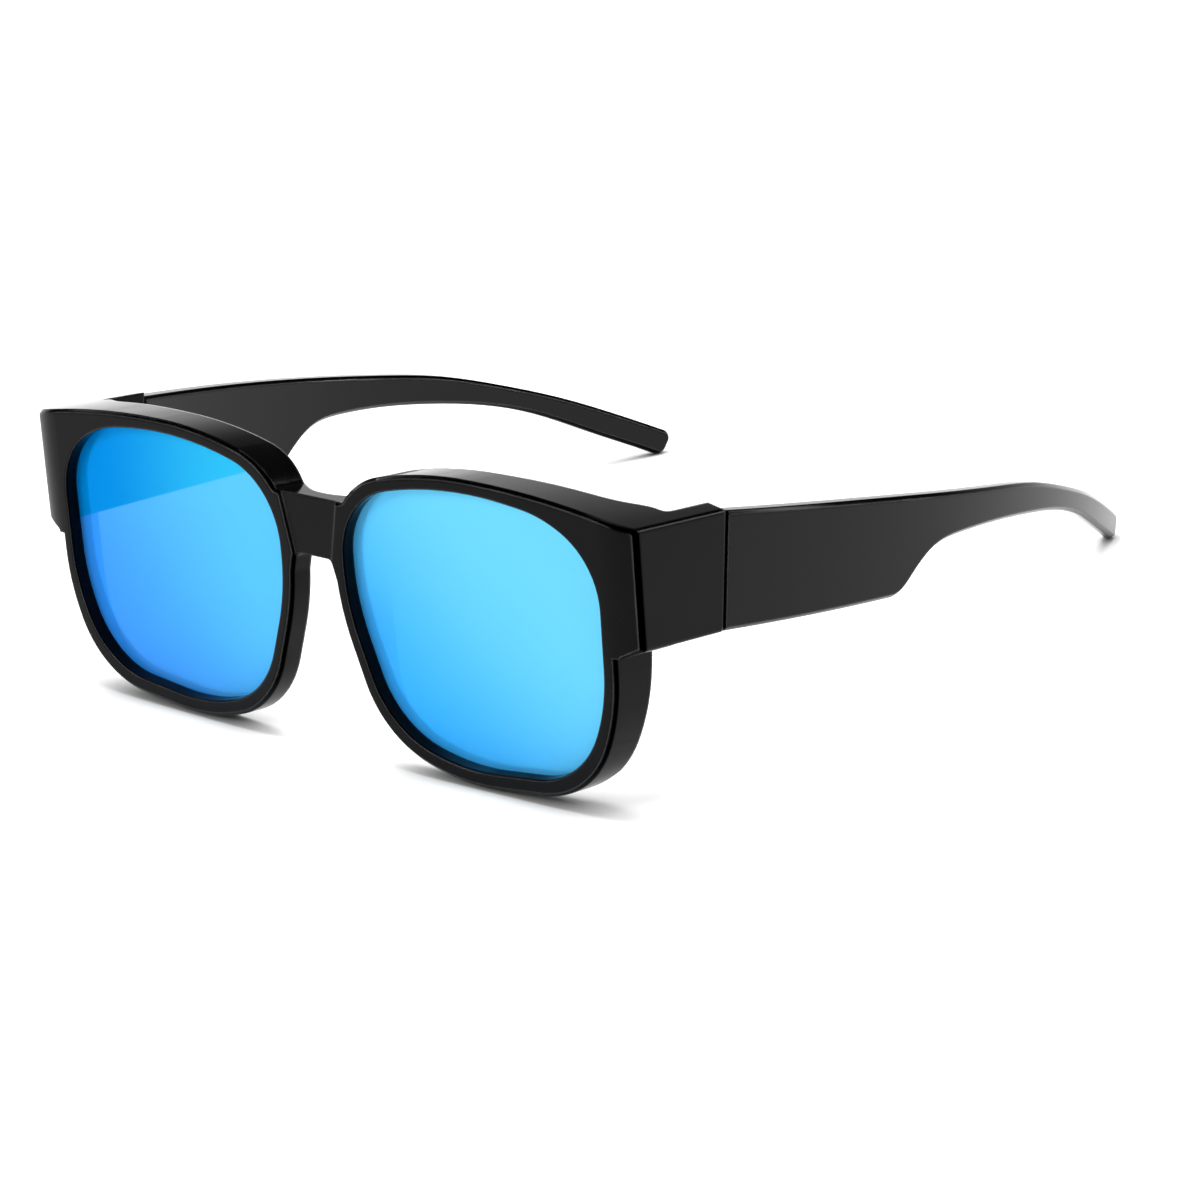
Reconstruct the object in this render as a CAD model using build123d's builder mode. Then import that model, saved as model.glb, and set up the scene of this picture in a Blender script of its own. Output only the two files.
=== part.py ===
from build123d import *
import os
from math import cos, radians, sin, tan

# Fitover sunglasses, resting on the lower rims and the temple tips.
# X runs across the wearer's face, Y from the lenses back to the ears, Z up.
# The origin lies on the floor under the middle of the object.

os.makedirs("parts", exist_ok=True)

# Overall sizes, in millimetres and degrees
front_sweep = 4.0
flat_sweep = 2.0
corner_start = 1.0
front_lean = 1.4
draw_angle = 8.5
overrun = 8.0

# Lens openings and lenses
aperture_width = 59.6
aperture_height = 51.8
aperture_inset = 8.0
rim_width = 2.8
rim_depth = 5.0
sill_depth = 4.7
lens_recess = 2.8
lens_thickness = 1.1
groove_depth = 0.8
lens_fit = 0.05

# Bridge between the lenses
bridge_drop = 8.8
bridge_height = 11.4
bridge_setback = 1.0
bridge_foot_inset = 3.6
bridge_crown_inset = 1.2
bridge_flare = 13.0

# Brow, end pieces and side shields
shell_wall = 2.0
end_width = 7.9
end_step = 3.7
end_height = 21.8
end_wall = 4.1
seam_reach = 29.3
seam_gap = 0.4
gusset_gap = 2.4
notch_depth = 4.1
notch_drop = 1.8
shield_lap = 4.1
shield_rise = 9.3
shield_depth = 13.0
shield_heel = 9.7
shield_heel_height = 6.0
shield_foot = 5.9

# Temples
temple_length = 144.0
temple_wall = 4.1
temple_thin = 3.0
temple_inset = 15.0
tip_round = 2.0

# Hinges
knuckle_radius = 1.5
knuckle_height = 2.2
knuckle_count = 3
knuckle_gap = 0.05
hinge_gap = 0.15
hinge_drop = 10.3
leaf_length = 8.0
leaf_start = 1.7
leaf_thickness = 0.8
pin_radius = 0.55
pin_fit = 0.04
pin_head_radius = 1.1
pin_head_height = 0.6
slot_width = 0.3
slot_depth = 0.25
screw_radius = 0.5
screw_fit = 0.02
screw_length = 2.6
screw_head_radius = 0.9
screw_head_height = 0.4
screw_spacing = 3.6
screw_setback = 5.2
screw_spare = 0.3

# Softened edges
edge_bevel = 0.75
end_round = 1.0
bridge_round = 1.5
aperture_bevel = 0.3
seam_bevel = 0.2

# Lens opening as a rounded polygon: shares of its width and height, and the
# share of the side after each corner that the rounding of this corner may take
loop_shares = [
    (0.997, 0.347, 0.43),
    (1.000, 0.841, 0.641),
    (0.800, 0.971, 0.35),
    (0.431, 1.022, 0.565),
    (0.011, 0.905, 0.578),
    (-0.004, 0.529, 0.45),
    (0.134, 0.085, 0.547),
    (0.422, -0.013, 0.43),
    (0.887, 0.037, 0.622),
]
rounding_share = 0.99
# Where the top edge starts to fall towards the end piece, as a share of the loop's width
brow_start_share = 0.52
# Rear of the brow from above, as shares of half width and gusset depth
brow_shares = [
    (0.0, 0.26),
    (0.1, 0.42),
    (0.26, 0.52),
    (0.53, 0.55),
    (0.74, 0.65),
    (0.86, 0.765),
    (0.92, 0.885),
]
# Start and middle of a side shield, as shares of the width of a lens opening
shield_start_share = 0.62
shield_middle_share = 0.87
# Temple seen from the side: shares of its length, and of the drop of its tip
temple_top_shares = [
    (0.0, 0.0),
    (0.24, 0.081),
    (0.51, 0.197),
    (0.62, 0.262),
    (0.72, 0.369),
    (0.82, 0.503),
    (0.90, 0.639),
    (1.0, 0.832),
]
temple_low_shares = [
    (0.88, 0.797),
    (0.78, 0.609),
    (0.70, 0.511),
    (0.61, 0.452),
    (0.515, 0.42),
    (0.43, 0.421),
    (0.37, 0.468),
    (0.325, 0.617),
]
tip_corner_share = 0.985
tip_settle_share = 0.37
root_length_share = 0.285
tip_turn_share = 3.0
# Temple seen from above: shares of its length and of the inset of its tip
temple_bow_shares = [
    (0.0, 0.0),
    (0.14, 0.24),
    (0.28, 0.37),
    (0.42, 0.39),
    (0.56, 0.26),
    (0.70, -0.01),
    (0.85, -0.45),
    (1.0, -1.03),
]

# Directions that curves start and end in
level = (1, 0)
level_forward = (-1, 0)
straight_back = (0, 1)

# Directions and places worked out from the sizes above
half_width = aperture_inset + aperture_width + end_width
flat_reach = aperture_inset + aperture_width + corner_start
draw_cos = cos(radians(draw_angle))
draw_sin = sin(radians(draw_angle))
# Height across the draw direction for each unit of height up the leaning front
draw_squeeze = cos(radians(draw_angle - front_lean)) / cos(radians(front_lean))
base_rise = sill_depth * tan(radians(draw_angle))
loop_width = aperture_width + 2 * rim_width
loop_height = aperture_height + 2 * rim_width
brow_start = aperture_inset - rim_width + brow_start_share * loop_width
bridge_top = loop_height - bridge_drop
bridge_bottom = bridge_top - bridge_height
bridge_foot = aperture_inset - bridge_foot_inset
bridge_crown = aperture_inset - bridge_crown_inset
end_top = loop_height - end_step
end_bottom = end_top - end_height
shield_top = end_bottom + shield_lap
shield_inner = aperture_inset + shield_start_share * aperture_width
shield_middle = aperture_inset + shield_middle_share * aperture_width
gusset_depth = seam_reach * draw_cos - leaf_length - gusset_gap
tall = base_rise + loop_height + overrun
draw_length = 3 * seam_reach
step_slope = (bridge_crown - bridge_foot) / bridge_height
lean = (0, sin(radians(front_lean)), cos(radians(front_lean)))
draw = (0, draw_cos, -draw_sin)
hinge_axis = (0, draw_sin, draw_cos)
seam_z = base_rise + end_top - seam_reach * draw_sin
temple_height = end_height * draw_cos
tip_drop = (seam_z - tip_corner_share * temple_length * draw_sin) / draw_cos + tip_settle_share * tip_round
tip_rise = temple_top_shares[-1][1] * tip_drop * draw_sin + tip_settle_share * tip_round
tip_reach = temple_length * draw_cos - tip_rise
front_y = -(seam_reach * draw_cos + tip_reach) / 2
seam_depth = seam_reach * draw_cos
seam_y = front_y + seam_depth
plan_plane = Plane((0, front_y, 0), x_dir=(1, 0, 0), z_dir=lean)
seam_top_plane = Plane((0, seam_y, seam_z), x_dir=(1, 0, 0), z_dir=hinge_axis)
side_plane = Plane((0, seam_y, seam_z), x_dir=draw, z_dir=(1, 0, 0))
inner_face = half_width - end_wall
hinge_x = inner_face - knuckle_radius - hinge_gap
plate_far = knuckle_radius + hinge_gap
plate_near = plate_far - leaf_thickness
stack_height = knuckle_count * knuckle_height + (knuckle_count - 1) * knuckle_gap


def face_plane(setback):
    # Upright plane across the glasses, some way behind the front
    return Plane((0, front_y + setback, base_rise), x_dir=(1, 0, 0), z_dir=(0, -1, 0))


def seam_plane(distance):
    # Plane square to the end piece, some way behind the seam
    origin = (0, seam_y + distance * draw_cos, seam_z - distance * draw_sin)
    return Plane(origin, x_dir=(1, 0, 0), z_dir=draw)


def draw_plane(distance):
    # Plane square to the draw direction, some way behind the foot of the front
    origin = (0, front_y + distance * draw_cos, base_rise - distance * draw_sin)
    return Plane(origin, x_dir=(1, 0, 0), z_dir=(0, -draw_cos, draw_sin))


def lens_loop(margin, squeeze):
    # Closed outline of a lens opening, grown by a margin all round
    wide = aperture_width + 2 * margin
    high = (aperture_height + 2 * margin) * squeeze
    left = aperture_inset - margin
    low = (rim_width - margin) * squeeze
    corners = [Vector(left + u * wide, low + v * high) for u, v, _ in loop_shares]
    radii = []
    for place, corner in enumerate(corners):
        before = corners[place - 1] - corner
        after = corners[(place + 1) % len(corners)] - corner
        cut = min((1 - loop_shares[place - 1][2]) * before.length, loop_shares[place][2] * after.length)
        radii.append(rounding_share * cut * tan(radians(before.get_angle(after) / 2)))
    return FilletPolyline(*corners, radius=radii, close=True)


def at_hinge(rise, across):
    # Point on the hinge line: a rise from its middle, and a distance outwards
    along = seam_gap / 2
    up = rise - hinge_drop
    return (
        hinge_x + across,
        seam_y + along * draw_cos + up * draw_sin,
        seam_z - along * draw_sin + up * draw_cos,
    )


def hinge_plane(rise):
    # Plane square to the hinge pin, some way up the stack of knuckles
    return Plane(at_hinge(rise - stack_height / 2, 0), x_dir=(1, 0, 0), z_dir=hinge_axis)


def leaf_plane(depth):
    # Plane along the leaves, some way below their inner faces
    return Plane(at_hinge(0, plate_near + depth), x_dir=draw, z_dir=(1, 0, 0))


def screw_places(side):
    # Places of a leaf's two screws: ahead of the pin or behind it
    return [(side * screw_setback, rise * screw_spacing / 2) for rise in (-1, 1)]


def under_end(setback):
    # Height of the end piece's underside, some way behind the front
    return base_rise + end_bottom - setback * tan(radians(draw_angle))


def wall_at(share):
    # Thickness of the temple, some share of its length behind the seam
    return temple_wall + share * (temple_thin - temple_wall)


def front_line(setback):
    # The front seen from above, some way behind its face: flat, then rounded at the side
    flat = Line((0, setback), (flat_reach, setback + flat_sweep))
    corner = TangentArc(flat @ 1, (half_width, setback + front_sweep), tangent=flat % 1)
    return flat, corner


def slab_outline(near, far):
    # Outline between two front lines, seen from above
    near_flat, near_corner = front_line(near)
    far_flat, far_corner = front_line(far)
    Line(near_flat @ 0, far_flat @ 0)
    Line(near_corner @ 1, far_corner @ 1)


with BuildPart() as front_half:
    # Silhouette of one half, drawn back along the end piece
    with BuildSketch(draw_plane(-seam_reach)) as outline:
        with BuildLine():
            lens_loop(rim_width, draw_squeeze)
        make_face()
        with BuildLine():
            Polyline(
                (0, bridge_top * draw_squeeze),
                (bridge_crown + rim_width, bridge_top * draw_squeeze),
                (aperture_inset + rim_width, bridge_bottom * draw_squeeze),
                (aperture_inset, (bridge_bottom - bridge_flare) * draw_squeeze),
                (bridge_foot, bridge_bottom * draw_squeeze),
                (0, bridge_bottom * draw_squeeze),
                close=True,
            )
        make_face()
        with BuildLine():
            brow = TangentArc(
                (brow_start, loop_height * draw_squeeze),
                (half_width, end_top * draw_squeeze),
                tangent=level,
            )
            Polyline(
                brow @ 1,
                (half_width, end_bottom * draw_squeeze),
                (half_width - notch_depth, (end_bottom - notch_drop) * draw_squeeze),
                (brow_start, (end_bottom - notch_drop) * draw_squeeze),
                brow @ 0,
            )
        make_face()
        fillet(outline.vertices().group_by(Axis.X)[-1], end_round)
        foot = outline.vertices().sort_by_distance((bridge_foot, bridge_bottom * draw_squeeze))[0]
        crown = outline.vertices().sort_by_distance((bridge_crown + rim_width, bridge_top * draw_squeeze))[0]
        fillet([foot, crown], bridge_round)
    extrude(amount=-draw_length)

    # Plan of the moulding between the front and the rear of the brow
    with BuildSketch(plan_plane):
        with BuildLine():
            flat, corner = front_line(0)
            rear = Spline(*[(u * half_width, v * gusset_depth) for u, v in brow_shares],
                          (inner_face, gusset_depth),
                          tangents=[level, straight_back])
            Polyline(
                rear @ 1,
                (inner_face, seam_depth + overrun),
                (half_width, seam_depth + overrun),
                corner @ 1,
            )
            Line(flat @ 0, rear @ 0)
        make_face()
    extrude(amount=tall, mode=Mode.INTERSECT)
    split(bisect_by=seam_plane(0), keep=Keep.BOTTOM)

    # Hollow behind the rim, inside the walls of the brow and the shield
    with BuildSketch(draw_plane(-seam_reach)):
        with BuildLine():
            lens_loop(rim_width - shell_wall, draw_squeeze)
        make_face()
    hollow = extrude(amount=-draw_length, mode=Mode.PRIVATE)
    with BuildSketch(plan_plane):
        with BuildLine():
            slab_outline(rim_depth, seam_depth + overrun)
        make_face()
    behind = extrude(amount=tall, both=True, mode=Mode.PRIVATE)
    add(hollow & behind, mode=Mode.SUBTRACT)

    # The nose wall and the sill are only as deep as the rim
    with BuildSketch(plan_plane):
        with BuildLine():
            Polyline(
                (-overrun, sill_depth),
                (shield_inner, sill_depth + flat_sweep * shield_inner / flat_reach),
                (shield_middle, shield_rise),
                (half_width - notch_depth, shield_depth),
                (half_width - notch_depth, seam_depth + overrun),
                (-overrun, seam_depth + overrun),
                close=True,
            )
        make_face()
    extrude(amount=shield_top, both=True, mode=Mode.SUBTRACT)

    # The shield's rear edge slants forward on its way down from the end piece
    with BuildSketch(Plane.YZ.offset(shield_inner)):
        with BuildLine():
            Polyline(
                (front_y + shield_depth, under_end(shield_depth)),
                (front_y + shield_heel, shield_heel_height),
                (front_y + shield_foot, 0),
                (front_y + shield_foot, -overrun),
                (seam_y + overrun, -overrun),
                (seam_y + overrun, under_end(seam_depth + overrun)),
                close=True,
            )
        make_face()
    extrude(amount=half_width, mode=Mode.SUBTRACT)

    # Lens opening through the rim
    with BuildSketch(face_plane(-overrun)):
        with BuildLine():
            lens_loop(0, 1)
        make_face()
    extrude(amount=-seam_reach - overrun, mode=Mode.SUBTRACT)

    # The bridge lies a little behind the rims
    with BuildSketch(draw_plane(-seam_reach)):
        with BuildLine():
            Polyline(
                (-overrun, (bridge_bottom - rim_width) * draw_squeeze),
                (bridge_foot - step_slope * rim_width, (bridge_bottom - rim_width) * draw_squeeze),
                (bridge_crown + step_slope * rim_width, (bridge_top + rim_width) * draw_squeeze),
                (-overrun, (bridge_top + rim_width) * draw_squeeze),
                close=True,
            )
        make_face()
    pocket = extrude(amount=-draw_length, mode=Mode.PRIVATE)
    with BuildSketch(plan_plane):
        with BuildLine():
            Polyline(
                (-overrun, -overrun),
                (aperture_inset + rim_width, -overrun),
                (aperture_inset + rim_width, bridge_setback),
                (-overrun, bridge_setback),
                close=True,
            )
        make_face()
    before = extrude(amount=tall, mode=Mode.PRIVATE)
    add(pocket & before, mode=Mode.SUBTRACT)

    # Groove that holds the lens
    with BuildSketch(face_plane(-overrun)):
        with BuildLine():
            lens_loop(groove_depth, 1)
        make_face()
    grown = extrude(amount=-seam_reach - overrun, mode=Mode.PRIVATE)
    with BuildSketch(plan_plane):
        with BuildLine():
            slab_outline(lens_recess - lens_fit, lens_recess + lens_thickness + lens_fit)
        make_face()
    band = extrude(amount=tall, mode=Mode.PRIVATE)
    add(grown & band, mode=Mode.SUBTRACT)

    # Softened edges round the front, at the seam and round the opening
    rim_face = front_half.faces().filter_by(lambda face: face.inner_wires()).sort_by(Axis.Y)[0]
    turn_line = rim_face.outer_wire().edges().filter_by(GeomType.LINE).sort_by(SortBy.LENGTH)[-1]
    side_line = front_half.faces().sort_by(Axis.X)[-1].edges().sort_by(Axis.Y)[0]
    chamfer(rim_face.outer_wire().edges() - [turn_line] + [side_line], edge_bevel)
    chamfer(front_half.faces().sort_by(Axis.Y)[-1].edges(), seam_bevel)
    rim_face = front_half.faces().filter_by(lambda face: face.inner_wires()).sort_by(Axis.Y)[0]
    chamfer(rim_face.inner_wires().edges(), aperture_bevel)

    # Blind holes for the screws of the hinge leaf
    with BuildSketch(leaf_plane(leaf_thickness)):
        with Locations(*screw_places(-1)):
            Circle(screw_radius + screw_fit)
    extrude(amount=screw_length - leaf_thickness + screw_spare, mode=Mode.SUBTRACT)

with BuildPart() as front_frame:
    add(front_half.part)
    mirror(about=Plane.YZ)

with BuildPart() as lens:
    # Lens blank, cut to the groove and set back like the front
    with BuildSketch(face_plane(-overrun)):
        with BuildLine():
            lens_loop(groove_depth - lens_fit, 1)
        make_face()
    extrude(amount=-seam_reach - overrun)
    with BuildSketch(plan_plane):
        with BuildLine():
            slab_outline(lens_recess, lens_recess + lens_thickness)
        make_face()
    extrude(amount=tall, mode=Mode.INTERSECT)

with BuildPart() as temple:
    # Side view of the arm, from the seam to the rounded tip
    with BuildSketch(side_plane) as profile:
        with BuildLine():
            top = Spline(*[(u * temple_length, -v * tip_drop) for u, v in temple_top_shares])
            low = Spline(
                (tip_corner_share * temple_length, -tip_drop),
                *[(u * temple_length, -v * tip_drop) for u, v in temple_low_shares],
                (root_length_share * temple_length, -temple_height),
                tangents=[(-draw_cos, tip_turn_share * draw_sin), level_forward],
            )
            Line(top @ 1, low @ 0)
            Polyline(low @ 1, (0, -temple_height), top @ 0)
        make_face()
        fillet(profile.vertices().group_by(Axis.X)[-1], tip_round)
        fillet(profile.vertices().group_by(Axis.Y)[0], tip_round)
    extrude(amount=half_width + temple_inset + overrun)

    # Plan of the arm: it bows out, then turns in towards the head
    with BuildSketch(seam_top_plane):
        with BuildLine():
            outer = Spline(*[(half_width + v * temple_inset, u * temple_length)
                             for u, v in temple_bow_shares])
            inner = Spline(*[(half_width + v * temple_inset - wall_at(u), u * temple_length)
                             for u, v in temple_bow_shares])
            Line(outer @ 0, inner @ 0)
            Line(outer @ 1, inner @ 1)
        make_face()
    extrude(amount=tall, both=True, mode=Mode.INTERSECT)
    split(bisect_by=seam_plane(seam_gap), keep=Keep.TOP)
    root_face = temple.faces().sort_by(Axis.Y)[0]
    chamfer(temple.edges().filter_by(GeomType.BSPLINE) - root_face.edges(), edge_bevel)
    chamfer(temple.faces().sort_by(Axis.Y)[0].edges(), seam_bevel)

    # Blind holes for the screws of the hinge leaf
    with BuildSketch(leaf_plane(leaf_thickness)):
        with Locations(*screw_places(1)):
            Circle(screw_radius + screw_fit)
    extrude(amount=screw_length - leaf_thickness + screw_spare, mode=Mode.SUBTRACT)


def hinge_leaf(side, first):
    # Leaf ahead of the pin or behind it, with every second knuckle from the first
    with BuildPart() as leaf:
        with BuildSketch(hinge_plane(0)):
            with Locations((plate_far - leaf_thickness / 2, side * (leaf_start + leaf_length) / 2)):
                Rectangle(leaf_thickness, leaf_length - leaf_start)
        extrude(amount=stack_height)
        for knuckle in range(first, knuckle_count, 2):
            with BuildSketch(hinge_plane(knuckle * (knuckle_height + knuckle_gap))):
                with Locations((plate_far - leaf_thickness / 2, side * (leaf_start + seam_gap / 2) / 2)):
                    Rectangle(leaf_thickness, leaf_start - seam_gap / 2)
                Circle(knuckle_radius)
                Circle(pin_radius + pin_fit, mode=Mode.SUBTRACT)
            extrude(amount=knuckle_height)
        with BuildSketch(leaf_plane(0)):
            with Locations(*screw_places(side)):
                Circle(screw_radius + screw_fit)
        extrude(amount=leaf_thickness, mode=Mode.SUBTRACT)
    return leaf


def leaf_screws(side):
    # The two screws of one leaf, with slotted heads
    with BuildPart() as screws:
        with BuildSketch(leaf_plane(0)):
            with Locations(*screw_places(side)):
                Circle(screw_radius)
        extrude(amount=screw_length)
        with BuildSketch(leaf_plane(0)):
            with Locations(*screw_places(side)):
                Circle(screw_head_radius)
        extrude(amount=-screw_head_height)
        with BuildSketch(leaf_plane(-screw_head_height)):
            with Locations(*screw_places(side)):
                Rectangle(2 * screw_head_radius, slot_width)
        extrude(amount=slot_depth, mode=Mode.SUBTRACT)
    return screws


with BuildPart() as hinge_screw:
    # Pin through all knuckles, with a slotted head on top
    with BuildSketch(hinge_plane(0)):
        Circle(pin_radius)
    extrude(amount=stack_height)
    with BuildSketch(hinge_plane(stack_height)):
        Circle(pin_head_radius)
    extrude(amount=pin_head_height)
    with BuildSketch(hinge_plane(stack_height + pin_head_height)):
        Rectangle(2 * pin_head_radius, slot_width)
    extrude(amount=-slot_depth, mode=Mode.SUBTRACT)

left_pieces = {
    "lens": lens,
    "temple": temple,
    "front_leaf": hinge_leaf(-1, 0),
    "temple_leaf": hinge_leaf(1, 1),
    "hinge_screw": hinge_screw,
    "front_leaf_screws": leaf_screws(-1),
    "temple_leaf_screws": leaf_screws(1),
}

for name, piece in left_pieces.items():
    piece.part.label = name + "_left"
    export_step(piece.part, "parts/" + piece.part.label + ".step")
    with BuildPart() as twin:
        mirror(piece.part, about=Plane.YZ)
    twin.part.label = name + "_right"
    export_step(twin.part, "parts/" + twin.part.label + ".step")

front_frame.part.label = "front_frame"
export_step(front_frame.part, "parts/front_frame.step")
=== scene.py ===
# %% [markdown]
# # Sunglasses worn over other glasses
# The moulded front, the two temples, the lenses and the metal hinges arrive as finished solids, and
# each stays where it is. This lesson gives every piece its finish, sets the glasses on a white
# table, and lights and frames them as in the photograph.
# Everything is in metres. X runs across the face, towards the wearer's left, Y runs from the lenses
# back to the ears, and Z is up.

# %% Load the solids
from math import cos, radians, sin

import bpy
from mathutils import Matrix, Vector


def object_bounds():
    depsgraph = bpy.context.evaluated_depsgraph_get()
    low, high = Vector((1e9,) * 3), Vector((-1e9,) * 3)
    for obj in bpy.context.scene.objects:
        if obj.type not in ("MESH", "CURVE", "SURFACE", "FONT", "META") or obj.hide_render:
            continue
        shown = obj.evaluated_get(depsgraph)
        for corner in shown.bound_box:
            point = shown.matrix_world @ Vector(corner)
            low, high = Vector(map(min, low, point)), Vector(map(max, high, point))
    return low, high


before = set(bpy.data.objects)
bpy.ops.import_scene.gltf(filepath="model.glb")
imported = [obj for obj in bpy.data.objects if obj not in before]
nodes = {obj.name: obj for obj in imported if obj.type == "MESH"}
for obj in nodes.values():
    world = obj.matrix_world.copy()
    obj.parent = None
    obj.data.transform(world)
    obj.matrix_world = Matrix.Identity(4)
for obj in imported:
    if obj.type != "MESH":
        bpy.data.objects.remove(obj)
solid_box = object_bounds()
print("solids:", ", ".join(sorted(nodes)))

# %% [markdown]
# ## Shader maths as plain expressions
# A finish is a graph of nodes. Wiring a Subtract node by hand for every `1 - mask` hides the idea,
# so a small class wraps an output socket and adds the Math node for each operator. Every other node
# comes from one function, which takes its type, its settings and what goes into its sockets.


# %% Socket wrapper
class Signal:
    """One output socket, with operators that add Math nodes."""

    def __init__(self, tree, socket):
        self.tree = tree
        self.socket = socket

    def math(self, operation, *values):
        return add_node(self.tree, "Math", {"operation": operation}, dict(enumerate(values)))

    def __add__(self, other):
        return self.math("ADD", self, other)

    __radd__ = __add__

    def __sub__(self, other):
        return self.math("SUBTRACT", self, other)

    def __rsub__(self, other):
        return self.math("SUBTRACT", other, self)

    def __mul__(self, other):
        return self.math("MULTIPLY", self, other)

    __rmul__ = __mul__

    def __pow__(self, power):
        return self.math("POWER", self, power)

    def larger(self, other):
        return self.math("MAXIMUM", self, other)

    def size(self):
        """The value without its sign."""
        return self.math("ABSOLUTE", self)

    def step(self, low, high):
        """Smooth ramp from 0 at low to 1 at high."""
        return add_node(self.tree, "MapRange", {"interpolation_type": "SMOOTHSTEP"},
                        {"Value": self, "From Min": low, "From Max": high})


def feed(tree, socket, value):
    """Links a Signal to a socket, or sets a plain value on it."""
    if isinstance(value, Signal):
        tree.links.new(value.socket, socket)
    else:
        socket.default_value = value


def add_node(tree, kind, settings, inputs, out=0):
    """Adds a node with its settings and inputs, and returns one of its outputs."""
    made = tree.nodes.new("ShaderNode" + kind)
    for name, value in settings.items():
        setattr(made, name, value)
    for name, value in inputs.items():
        feed(tree, made.inputs[name], value)
    return Signal(tree, made.outputs[out])


print("socket wrapper ready")


# %% Colours, coordinates and empty materials
def grey(level):
    """A colour with the same level in each channel: 0 is black, 1 is white."""
    return (level, level, level, 1)


def blend_colours(tree, factor, first, second):
    """Mixes two colours by a factor."""
    colours = {"Factor": factor, "A": first, "B": second}
    return add_node(tree, "Mix", {"data_type": "RGBA"}, colours, "Result")


def coordinates(tree, vector):
    """X, Y and Z of a vector as three signals."""
    first = add_node(tree, "SeparateXYZ", {}, {"Vector": vector})
    return [Signal(tree, socket) for socket in first.socket.node.outputs]


def new_material(name):
    """An empty material, with its tree, its shader and the shaded point in metres."""
    material = bpy.data.materials.new(name)
    material.use_nodes = True
    tree = material.node_tree
    point = add_node(tree, "TexCoord", {}, {}, "Object")
    return material, tree, tree.nodes["Principled BSDF"], point


print("helpers ready")

# %% [markdown]
# ## Painted lines along the edges of polished plastic
# An edge of polished black plastic is seen as two lines: a black one where it turns away from every
# lamp, and a thin light one where it meets the flat face. Here both are painted into the colour: the
# black one is painted shade and the light one a painted highlight. Drawn lines would need a shape of
# their own along each edge, so both are found from the direction that the surface faces once a Bevel
# node has rounded it. Along the axis that the mould opens on, that direction is 1 on the flat face
# and 0 on the walls, and on the edge it passes through all values between.

# %% Painted shade and highlight lines along the edges
edge_softness = 0.0007
# The black line is painted shade and the light line a painted highlight; each rises and falls over
# these values of the turn.
black_rise, black_fall = (0.2, 0.35), (0.75, 0.79)
highlight_rise, highlight_fall = (0.77, 0.81), (0.86, 0.89)
end_piece_start = 0.0705
end_piece_foot = 0.033
upward_rise = (0.1, 0.3)


def between(value, rise, fall):
    """1 between two ramps, each given by the two values that it runs over, and 0 outside them."""
    return value.step(*rise) * (1 - value.step(*fall))


def edge_lines(slant):
    """The painted black shade line and the painted highlight line, from how far the edge has turned:
    1 is the flat face.
    """
    return between(slant, black_rise, black_fall), between(slant, highlight_rise, highlight_fall)


def front_edges(point, rounded):
    """Painted shade and highlight lines on the edges of the front, and along the top of its two end
    pieces.
    """
    black, light = edge_lines(rounded[1].size())
    on_end = point[0].size().step(end_piece_start, end_piece_start + edge_softness)
    above_foot = point[2].step(end_piece_foot, end_piece_foot + edge_softness)
    on_top = on_end * above_foot * rounded[2].step(*upward_rise)
    black_top, highlight_top = edge_lines(rounded[0].size())
    return black.larger(black_top * on_top), light.larger(highlight_top * on_top)


def temple_edges(point, rounded):
    """Painted shade and highlight lines on the edges of a temple, whose flat sides face left and
    right.
    """
    return edge_lines(rounded[0].size())


print("edge lines are found on edges rounded to", edge_softness, "m")

# %% [markdown]
# ## Polished black plastic
# The front and the temples are injection moulded in black and polished. The plastic itself is
# almost without colour: what one sees is its surface, which mirrors little face on and much at a
# slant. So the base colour is nearly black, the specular level is low, and the lamps do the rest,
# except along the edges, where a black line of painted shade and a grey line of painted highlight
# are put into the colour.
# Three things keep it from looking like a computer's plastic: broad, very shallow waves from the
# mould, a fine haze where it has been handled, and a grain too small to see but felt in highlights.
# The Bevel node also rounds the shading of the narrow edges, as the polishing wheel rounds the real
# ones. The front comes out of its mould a shade blacker than the temples, so shine is set for each.

# %% Black plastic
wave_height = 0.00004
grain_share = 0.03
mould_black = (0.0015, 0.0015, 0.0017, 1)
haze_black = (0.003, 0.003, 0.0033, 1)
haze_rise = (0.45, 0.75)
highlight_grey = (0.11, 0.11, 0.114, 1)
least_highlight = 0.6
polished_roughness = 0.09
haze_roughness = 0.07
front_shine = 0.07
temple_shine = 0.17


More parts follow.
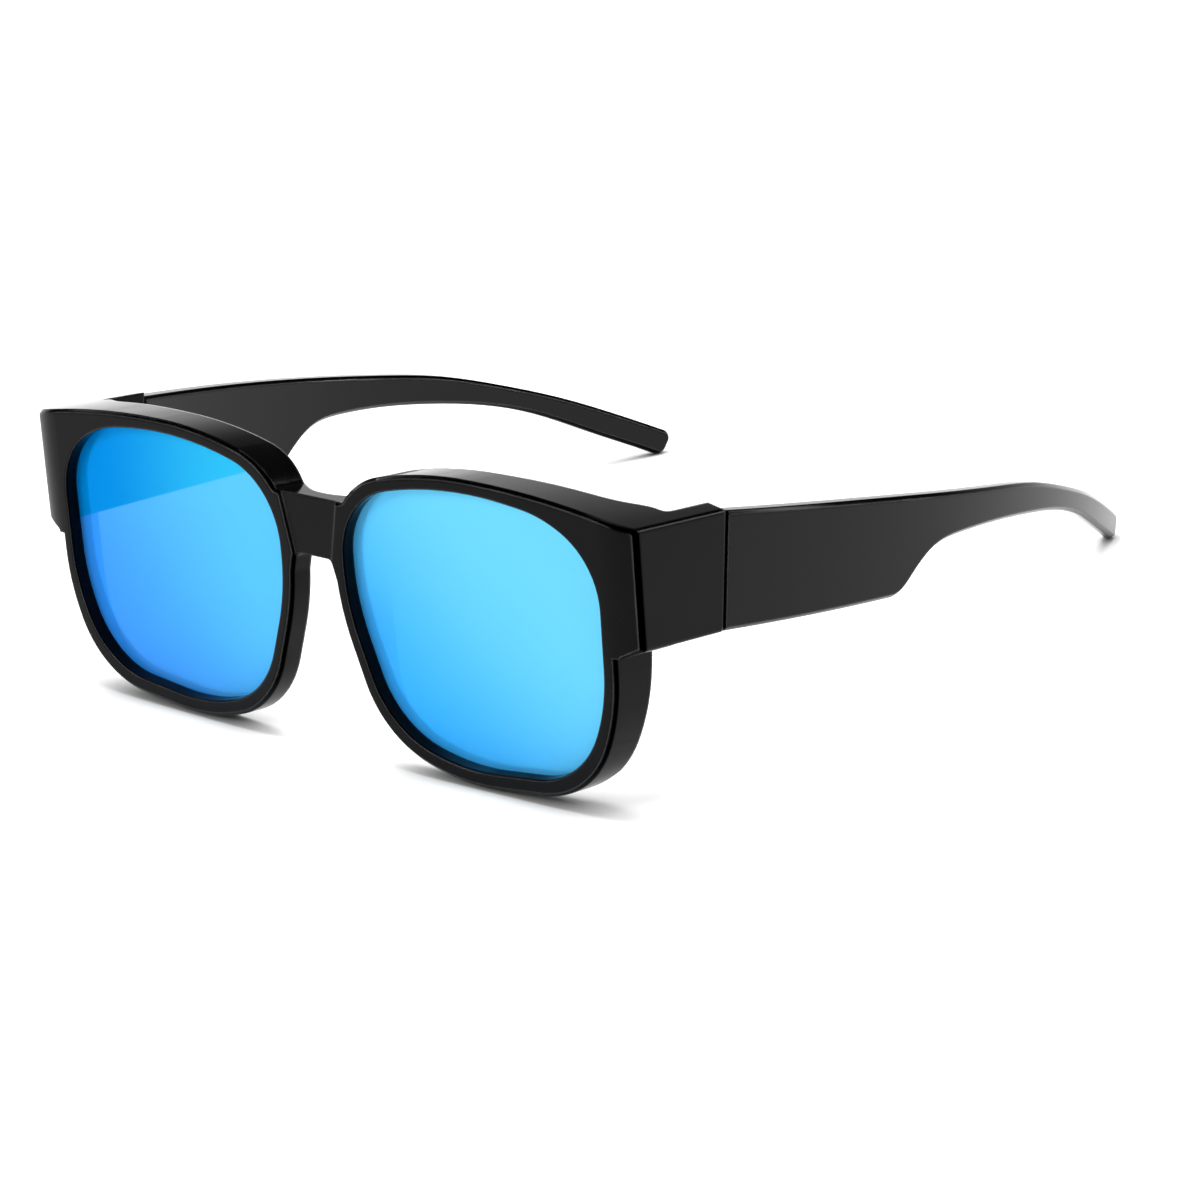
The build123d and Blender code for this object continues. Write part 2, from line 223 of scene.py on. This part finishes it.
def polished_plastic(name, shine, edges):
    """Black plastic; shine is how much it mirrors face on, edges finds where its painted shade and
    highlight lines go.
    """
    material, tree, shader, point = new_material(name)
    haze_noise = {"Vector": point, "Scale": 70.0, "Detail": 5.0, "Roughness": 0.6}
    haze = add_node(tree, "TexNoise", {}, haze_noise).step(*haze_rise)
    wave = add_node(tree, "TexNoise", {}, {"Vector": point, "Scale": 22.0, "Detail": 1.0})
    grain = add_node(tree, "TexNoise", {}, {"Vector": point, "Scale": 2500.0, "Detail": 2.0})
    rounded = add_node(tree, "Bevel", {"samples": 8}, {"Radius": edge_softness})
    to_object = {"vector_type": "NORMAL", "convert_from": "WORLD", "convert_to": "OBJECT"}
    direction = add_node(tree, "VectorTransform", to_object, {"Vector": rounded})
    black, light = edges(coordinates(tree, point), coordinates(tree, direction))
    # Painted highlight: the light edge line is a grey base colour, fainter where the haze is thin.
    edge_highlight = light * (least_highlight + (1 - least_highlight) * haze)
    colour = blend_colours(tree, haze, mould_black, haze_black)
    colour = blend_colours(tree, edge_highlight, colour, highlight_grey)
    # Painted shade: on the black edge line the colour is black and the shader a metal, so it mirrors
    # nothing and stays black.
    feed(tree, shader.inputs["Base Color"], blend_colours(tree, black, colour, grey(0)))
    feed(tree, shader.inputs["Metallic"], black)
    feed(tree, shader.inputs["Roughness"], polished_roughness + haze_roughness * haze)
    shader.inputs["IOR"].default_value = 1.5
    shader.inputs["Specular IOR Level"].default_value = shine
    bumped = add_node(tree, "Bump", {}, {"Strength": 1.0, "Distance": wave_height,
                                         "Height": wave + grain_share * grain, "Normal": rounded})
    feed(tree, shader.inputs["Normal"], bumped)
    return material


front_plastic = polished_plastic("black plastic of the front", front_shine, front_edges)
temple_plastic = polished_plastic("black plastic of the temples", temple_shine, temple_edges)
print("made:", front_plastic.name, "and", temple_plastic.name)

# %% [markdown]
# ## Blue mirror lens
# A mirror lens is tinted plastic with a thin coating that sends back blue and cyan. It could be a
# pure metal shader, but then it would show nothing but the black rim and the table. The real one
# also scatters light in its coating, so it is made one part metal and five parts plain colour.
# The tint runs from cyan high up to a deeper blue low down, and the coating has faint clouds in it.
# It is on the front only: from behind, where the wearer looks in, the lens is smoke grey.
# Beside the nose and along the low edge a band is painted a deeper blue: a painted reflection of
# the rim's inner wall. The wearer's right lens shows one more painted reflection: a deep wedge
# under the brow, with a straight lower edge.

# %% Mirror lens
metal_share = 0.16
coating_roughness = 0.04
cloud_roughness = 0.03
cloud_share = 0.12
# Colours of the painted reflection in the wedge under the right brow.
wedge_reflection_blue = (0.0, 0.25, 0.72, 1)
wedge_reflection_cyan = (0.026, 0.49, 0.84, 1)
# Colour and shape of the painted reflection of the rim wall.
rim_reflection_blue = (0.03, 0.29, 0.93, 1)
band_power = 3.5
band_edge = (0.98, 1.02)
band_fade = 0.010
line_blur = 0.0002
smoke = (0.010, 0.011, 0.013, 1)
back_turn = (-0.5, 0.5)


def beyond_curve(x, z, centre, reach):
    """1 outside a rounded rectangle round a centre, 0 inside it."""
    across = ((x - centre[0]) * (1 / reach[0])).size() ** band_power
    upward = ((z - centre[1]) * (1 / reach[1])).size() ** band_power
    return (across + upward).step(*band_edge)


def painted_rim_reflection(x, z, centre, reach, top, strength):
    """Painted reflection of the rim wall: a band beside the nose and along the low edge, up to a top.
    """
    nose_side = (centre[0] - x).step(-band_fade, 0.0)
    low_side = (centre[1] - z).step(0.0, band_fade)
    shown = nose_side.larger(low_side) * (top - z).step(0.0, band_fade) * strength
    return beyond_curve(x, z, centre, reach) * shown


def mirror_lens(name, tints, tint_run, band, reflection_wedge=None):
    """Lens finish. Its tint runs between two points, and all points are given as X and Z."""
    material, tree, shader, point = new_material(name)
    x, _, z = coordinates(tree, point)
    start, end = tint_run
    run = Vector(end) - Vector(start)
    rate = run / run.length_squared
    share = (x - start[0]) * rate.x + (z - start[1]) * rate.y
    cloud = add_node(tree, "TexNoise", {}, {"Vector": point, "Scale": 25.0, "Detail": 2.0})
    clouded = (share + cloud_share * (cloud - 0.5)).step(0.0, 1.0)
    colour = blend_colours(tree, clouded, *tints)
    # Painted reflection: a deeper blue band where the rim's inner wall mirrors in the lens.
    colour = blend_colours(tree, painted_rim_reflection(x, z, **band), colour, rim_reflection_blue)
    # Painted reflection: a deep blue wedge under the brow, above a straight line, on the right lens
    # only.
    if reflection_wedge:
        (near, near_height), (far, far_height) = reflection_wedge
        slope = (far_height - near_height) / (far - near)
        above = z - near_height - (x - near) * slope
        wedge_reflection_colour = blend_colours(tree, x.step(near, far), wedge_reflection_blue, wedge_reflection_cyan)
        colour = blend_colours(tree, above.step(-line_blur, line_blur), colour, wedge_reflection_colour)
    facing = coordinates(tree, add_node(tree, "TexCoord", {}, {}, "Normal"))
    behind = facing[1].step(*back_turn)
    feed(tree, shader.inputs["Base Color"], blend_colours(tree, behind, colour, smoke))
    feed(tree, shader.inputs["Roughness"], coating_roughness + cloud_roughness * cloud)
    shader.inputs["Metallic"].default_value = metal_share
    shader.inputs["Specular IOR Level"].default_value = 0.0
    return material


print("lens coating:", metal_share, "metal")

# %% The two lenses
left_lens = mirror_lens(
    "blue mirror lens left",
    tints=((0.035, 0.42, 1.0, 1), (0.155, 0.65, 0.95, 1)),
    tint_run=((0.020, 0.002), (0.053, 0.042)),
    band={"centre": (0.0435, 0.030), "reach": (0.0268, 0.0275), "top": 0.036, "strength": 0.22},
)
right_lens = mirror_lens(
    "blue mirror lens right",
    tints=((0.052, 0.32, 0.95, 1), (0.102, 0.55, 0.95, 1)),
    tint_run=((-0.060, 0.008), (-0.012, 0.040)),
    band={"centre": (-0.032, 0.031), "reach": (0.0301, 0.0273), "top": 0.060, "strength": 1.0},
    reflection_wedge=((-0.06175, 0.03518), (-0.01863, 0.05012)),
)
print("made:", left_lens.name, "and", right_lens.name)

# %% [markdown]
# ## Steel of the hinges
# The hinge leaves are stamped and tumbled, so they are a little rough, and their screws are turned
# and brighter. Both are metal shaders with a fine brushed variation in roughness, because steel
# shows its making in how sharply it mirrors, not in its colour.

# %% Steel
brush_rise = (0.35, 0.65)
brush_shade = 0.8
brush_roughness = 0.15


def hinge_steel(name, colour, roughness):
    """Brushed steel, a little darker and smoother in the brush marks."""
    material, tree, shader, point = new_material(name)
    brush = add_node(tree, "TexNoise", {}, {"Vector": point, "Scale": 900.0, "Detail": 3.0})
    darker = [brush_shade * channel for channel in colour[:3]] + [1]
    steel = blend_colours(tree, brush.step(*brush_rise), darker, colour)
    feed(tree, shader.inputs["Base Color"], steel)
    feed(tree, shader.inputs["Roughness"], roughness + brush_roughness * brush)
    shader.inputs["Metallic"].default_value = 1.0
    return material


leaf_metal = hinge_steel("stamped hinge steel", (0.52, 0.52, 0.54, 1), roughness=0.28)
screw_metal = hinge_steel("turned screw steel", (0.62, 0.62, 0.65, 1), roughness=0.2)
print("made:", leaf_metal.name, "and", screw_metal.name)

# %% [markdown]
# ## A finish on each solid
# A solid keeps its shape and its place, so its finish goes into its own material slot. The moulded
# pieces and the lenses are named one by one. All that is left belongs to the hinges, where a
# screw can be told from a leaf by its name.

# %% Give each solid its finish
finishes = {
    "front_frame": front_plastic,
    "temple_left": temple_plastic,
    "temple_right": temple_plastic,
    "lens_left": left_lens,
    "lens_right": right_lens,
}
for name, node in nodes.items():
    finish = finishes.get(name) or (screw_metal if "screw" in name else leaf_metal)
    node.data.materials.clear()
    node.data.materials.append(finish)
print("finished", len(nodes), "pieces")

# %% [markdown]
# ## White table
# The photograph was taken on white and cut out, so only the shadow right under the rims and the
# temple tips is left of the table. A white sheet in plain light would come out grey, so the table
# adds a little light of its own, for the camera and for mirrors only, and more of it far off, where
# the lamps hardly reach. An Ambient Occlusion node deepens the shadow where the plastic touches it.

# %% Table
table_half = 3.0
table_gap = 0.00002
table_mesh = bpy.data.meshes.new("table")
corners = [(-table_half, -table_half, 0), (table_half, -table_half, 0),
           (table_half, table_half, 0), (-table_half, table_half, 0)]
table_mesh.from_pydata(corners, [], [(0, 1, 2, 3)])
table = bpy.data.objects.new("table", table_mesh)
bpy.context.collection.objects.link(table)
table.location.z = solid_box[0][2] - table_gap
print("table at", round(table.location.z, 5))

# %% White of the table
contact_reach = 0.007
contact_rise = (0.1, 1.0)
contact_level = 0.35
table_level = 0.82
own_light = 0.42
lamp_reach = 0.4
table_white, tree, shader, point = new_material("white table")
open_share = add_node(tree, "AmbientOcclusion", {"samples": 16}, {"Distance": contact_reach}, "AO")
lit = open_share.step(*contact_rise)
sheet = blend_colours(tree, lit, grey(contact_level), grey(table_level))
feed(tree, shader.inputs["Base Color"], sheet)
shader.inputs["Roughness"].default_value = 0.9
shader.inputs["Specular IOR Level"].default_value = 0.0
seen = add_node(tree, "LightPath", {}, {}, "Is Camera Ray")
for ray in ("Is Glossy Ray", "Is Transmission Ray"):
    seen = seen.larger(add_node(tree, "LightPath", {}, {}, ray))
x, y, _ = coordinates(tree, point)
far_off = ((x * x + y * y) ** 0.5).step(lamp_reach, 3 * lamp_reach)
own = seen * lit * (own_light + (1 - own_light) * far_off)
feed(tree, shader.inputs["Emission Color"], blend_colours(tree, own, grey(0), grey(1)))
shader.inputs["Emission Strength"].default_value = 1.0
table.data.materials.append(table_white)
print("made:", table_white.name)

# %% [markdown]
# ## Studio light
# Polished black shows the room more than itself. The room here is white near the table and dark
# overhead: the top of the brow, seen at a slant, mirrors the white part, and the faces stay black.
# A large soft box overhead lights the table, a fill from the front lights the lenses, and two
# narrow strips, too weak to cast a shadow, are there only to draw thin lines along the edges.

# %% Room
glow_level = 1.5
glow_top = 0.1
ceiling_level = 0.05
ceiling_start = 0.42
world = bpy.data.worlds.new("studio")
bpy.context.scene.world = world
world.use_nodes = True
sky = world.node_tree
height = coordinates(sky, add_node(sky, "TexCoord", {}, {}, "Generated"))[2]
glow = blend_colours(sky, height.step(0.0, glow_top), grey(glow_level), grey(1))
room = blend_colours(sky, height.step(glow_top, ceiling_start), glow, grey(ceiling_level))
sky_seen = add_node(sky, "LightPath", {}, {}, "Is Camera Ray")
background = sky.nodes["Background"]
feed(sky, background.inputs["Color"], blend_colours(sky, sky_seen, room, grey(1)))
print("room ready")


# %% Lamps
def soft_box(name, place, aim, size, power):
    """A rectangular lamp at a place, turned towards a point."""
    lamp = bpy.data.lights.new(name, "AREA")
    lamp.shape = "RECTANGLE"
    lamp.size, lamp.size_y = size
    lamp.energy = power
    stand = bpy.data.objects.new(name, lamp)
    bpy.context.collection.objects.link(stand)
    stand.location = place
    stand.rotation_mode = "QUATERNION"
    stand.rotation_quaternion = (Vector(place) - Vector(aim)).to_track_quat("Z", "Y")
    return stand


lamps = [
    soft_box("overhead soft box", place=(0.0, 0.1, 1.1), aim=(0, 0, 0), size=(0.9, 0.7), power=13.0),
    soft_box("front fill", place=(-0.5, -1.1, 0.7), aim=(0, -0.08, 0.03), size=(0.7, 0.5), power=7.0),
    soft_box("edge strip across", place=(-0.7, -0.15, 0.9), aim=(-0.7, 0, 0.04), size=(1.6, 0.04),
             power=3.5),
    soft_box("edge strip along", place=(0.35, 0.75, 0.75), aim=(0, -0.02, 0.04), size=(0.05, 0.9),
             power=3.0),
]
print("lamps:", ", ".join(lamp.name for lamp in lamps))

# %% [markdown]
# ## Camera
# The photograph was taken from the wearer's left front and a little above, with a long lens. The
# angles, the distance and the aim were worked out from the two lens openings, which are alike and
# lie in one plane, so their outlines in the picture fix where the camera stood.

# %% Camera
image_side = 1200
focal_pixels = 4200
sensor_mm = 36
azimuth, elevation, roll = radians(42.606), radians(19.820), radians(-4.982)
aim = Vector((0.019147, -0.027357, 0.014856))
distance = 0.79234
back = Vector((sin(azimuth) * cos(elevation), -cos(azimuth) * cos(elevation), sin(elevation)))
right = Vector((cos(azimuth), sin(azimuth), 0))
up = back.cross(right)
turned_right = right * cos(roll) + up * sin(roll)
turned_up = up * cos(roll) - right * sin(roll)
camera_data = bpy.data.cameras.new("camera")
camera_data.sensor_width = sensor_mm
camera_data.lens = focal_pixels / image_side * sensor_mm
camera_data.clip_start = 0.05
camera_data.clip_end = 20
camera = bpy.data.objects.new("camera", camera_data)
bpy.context.collection.objects.link(camera)
turn = Matrix((turned_right, turned_up, back)).transposed().to_4x4()
camera.matrix_world = Matrix.Translation(aim + back * distance) @ turn
bpy.context.scene.camera = camera
bpy.context.scene.view_settings.view_transform = "Standard"
print("camera at", tuple(round(value, 3) for value in camera.location))
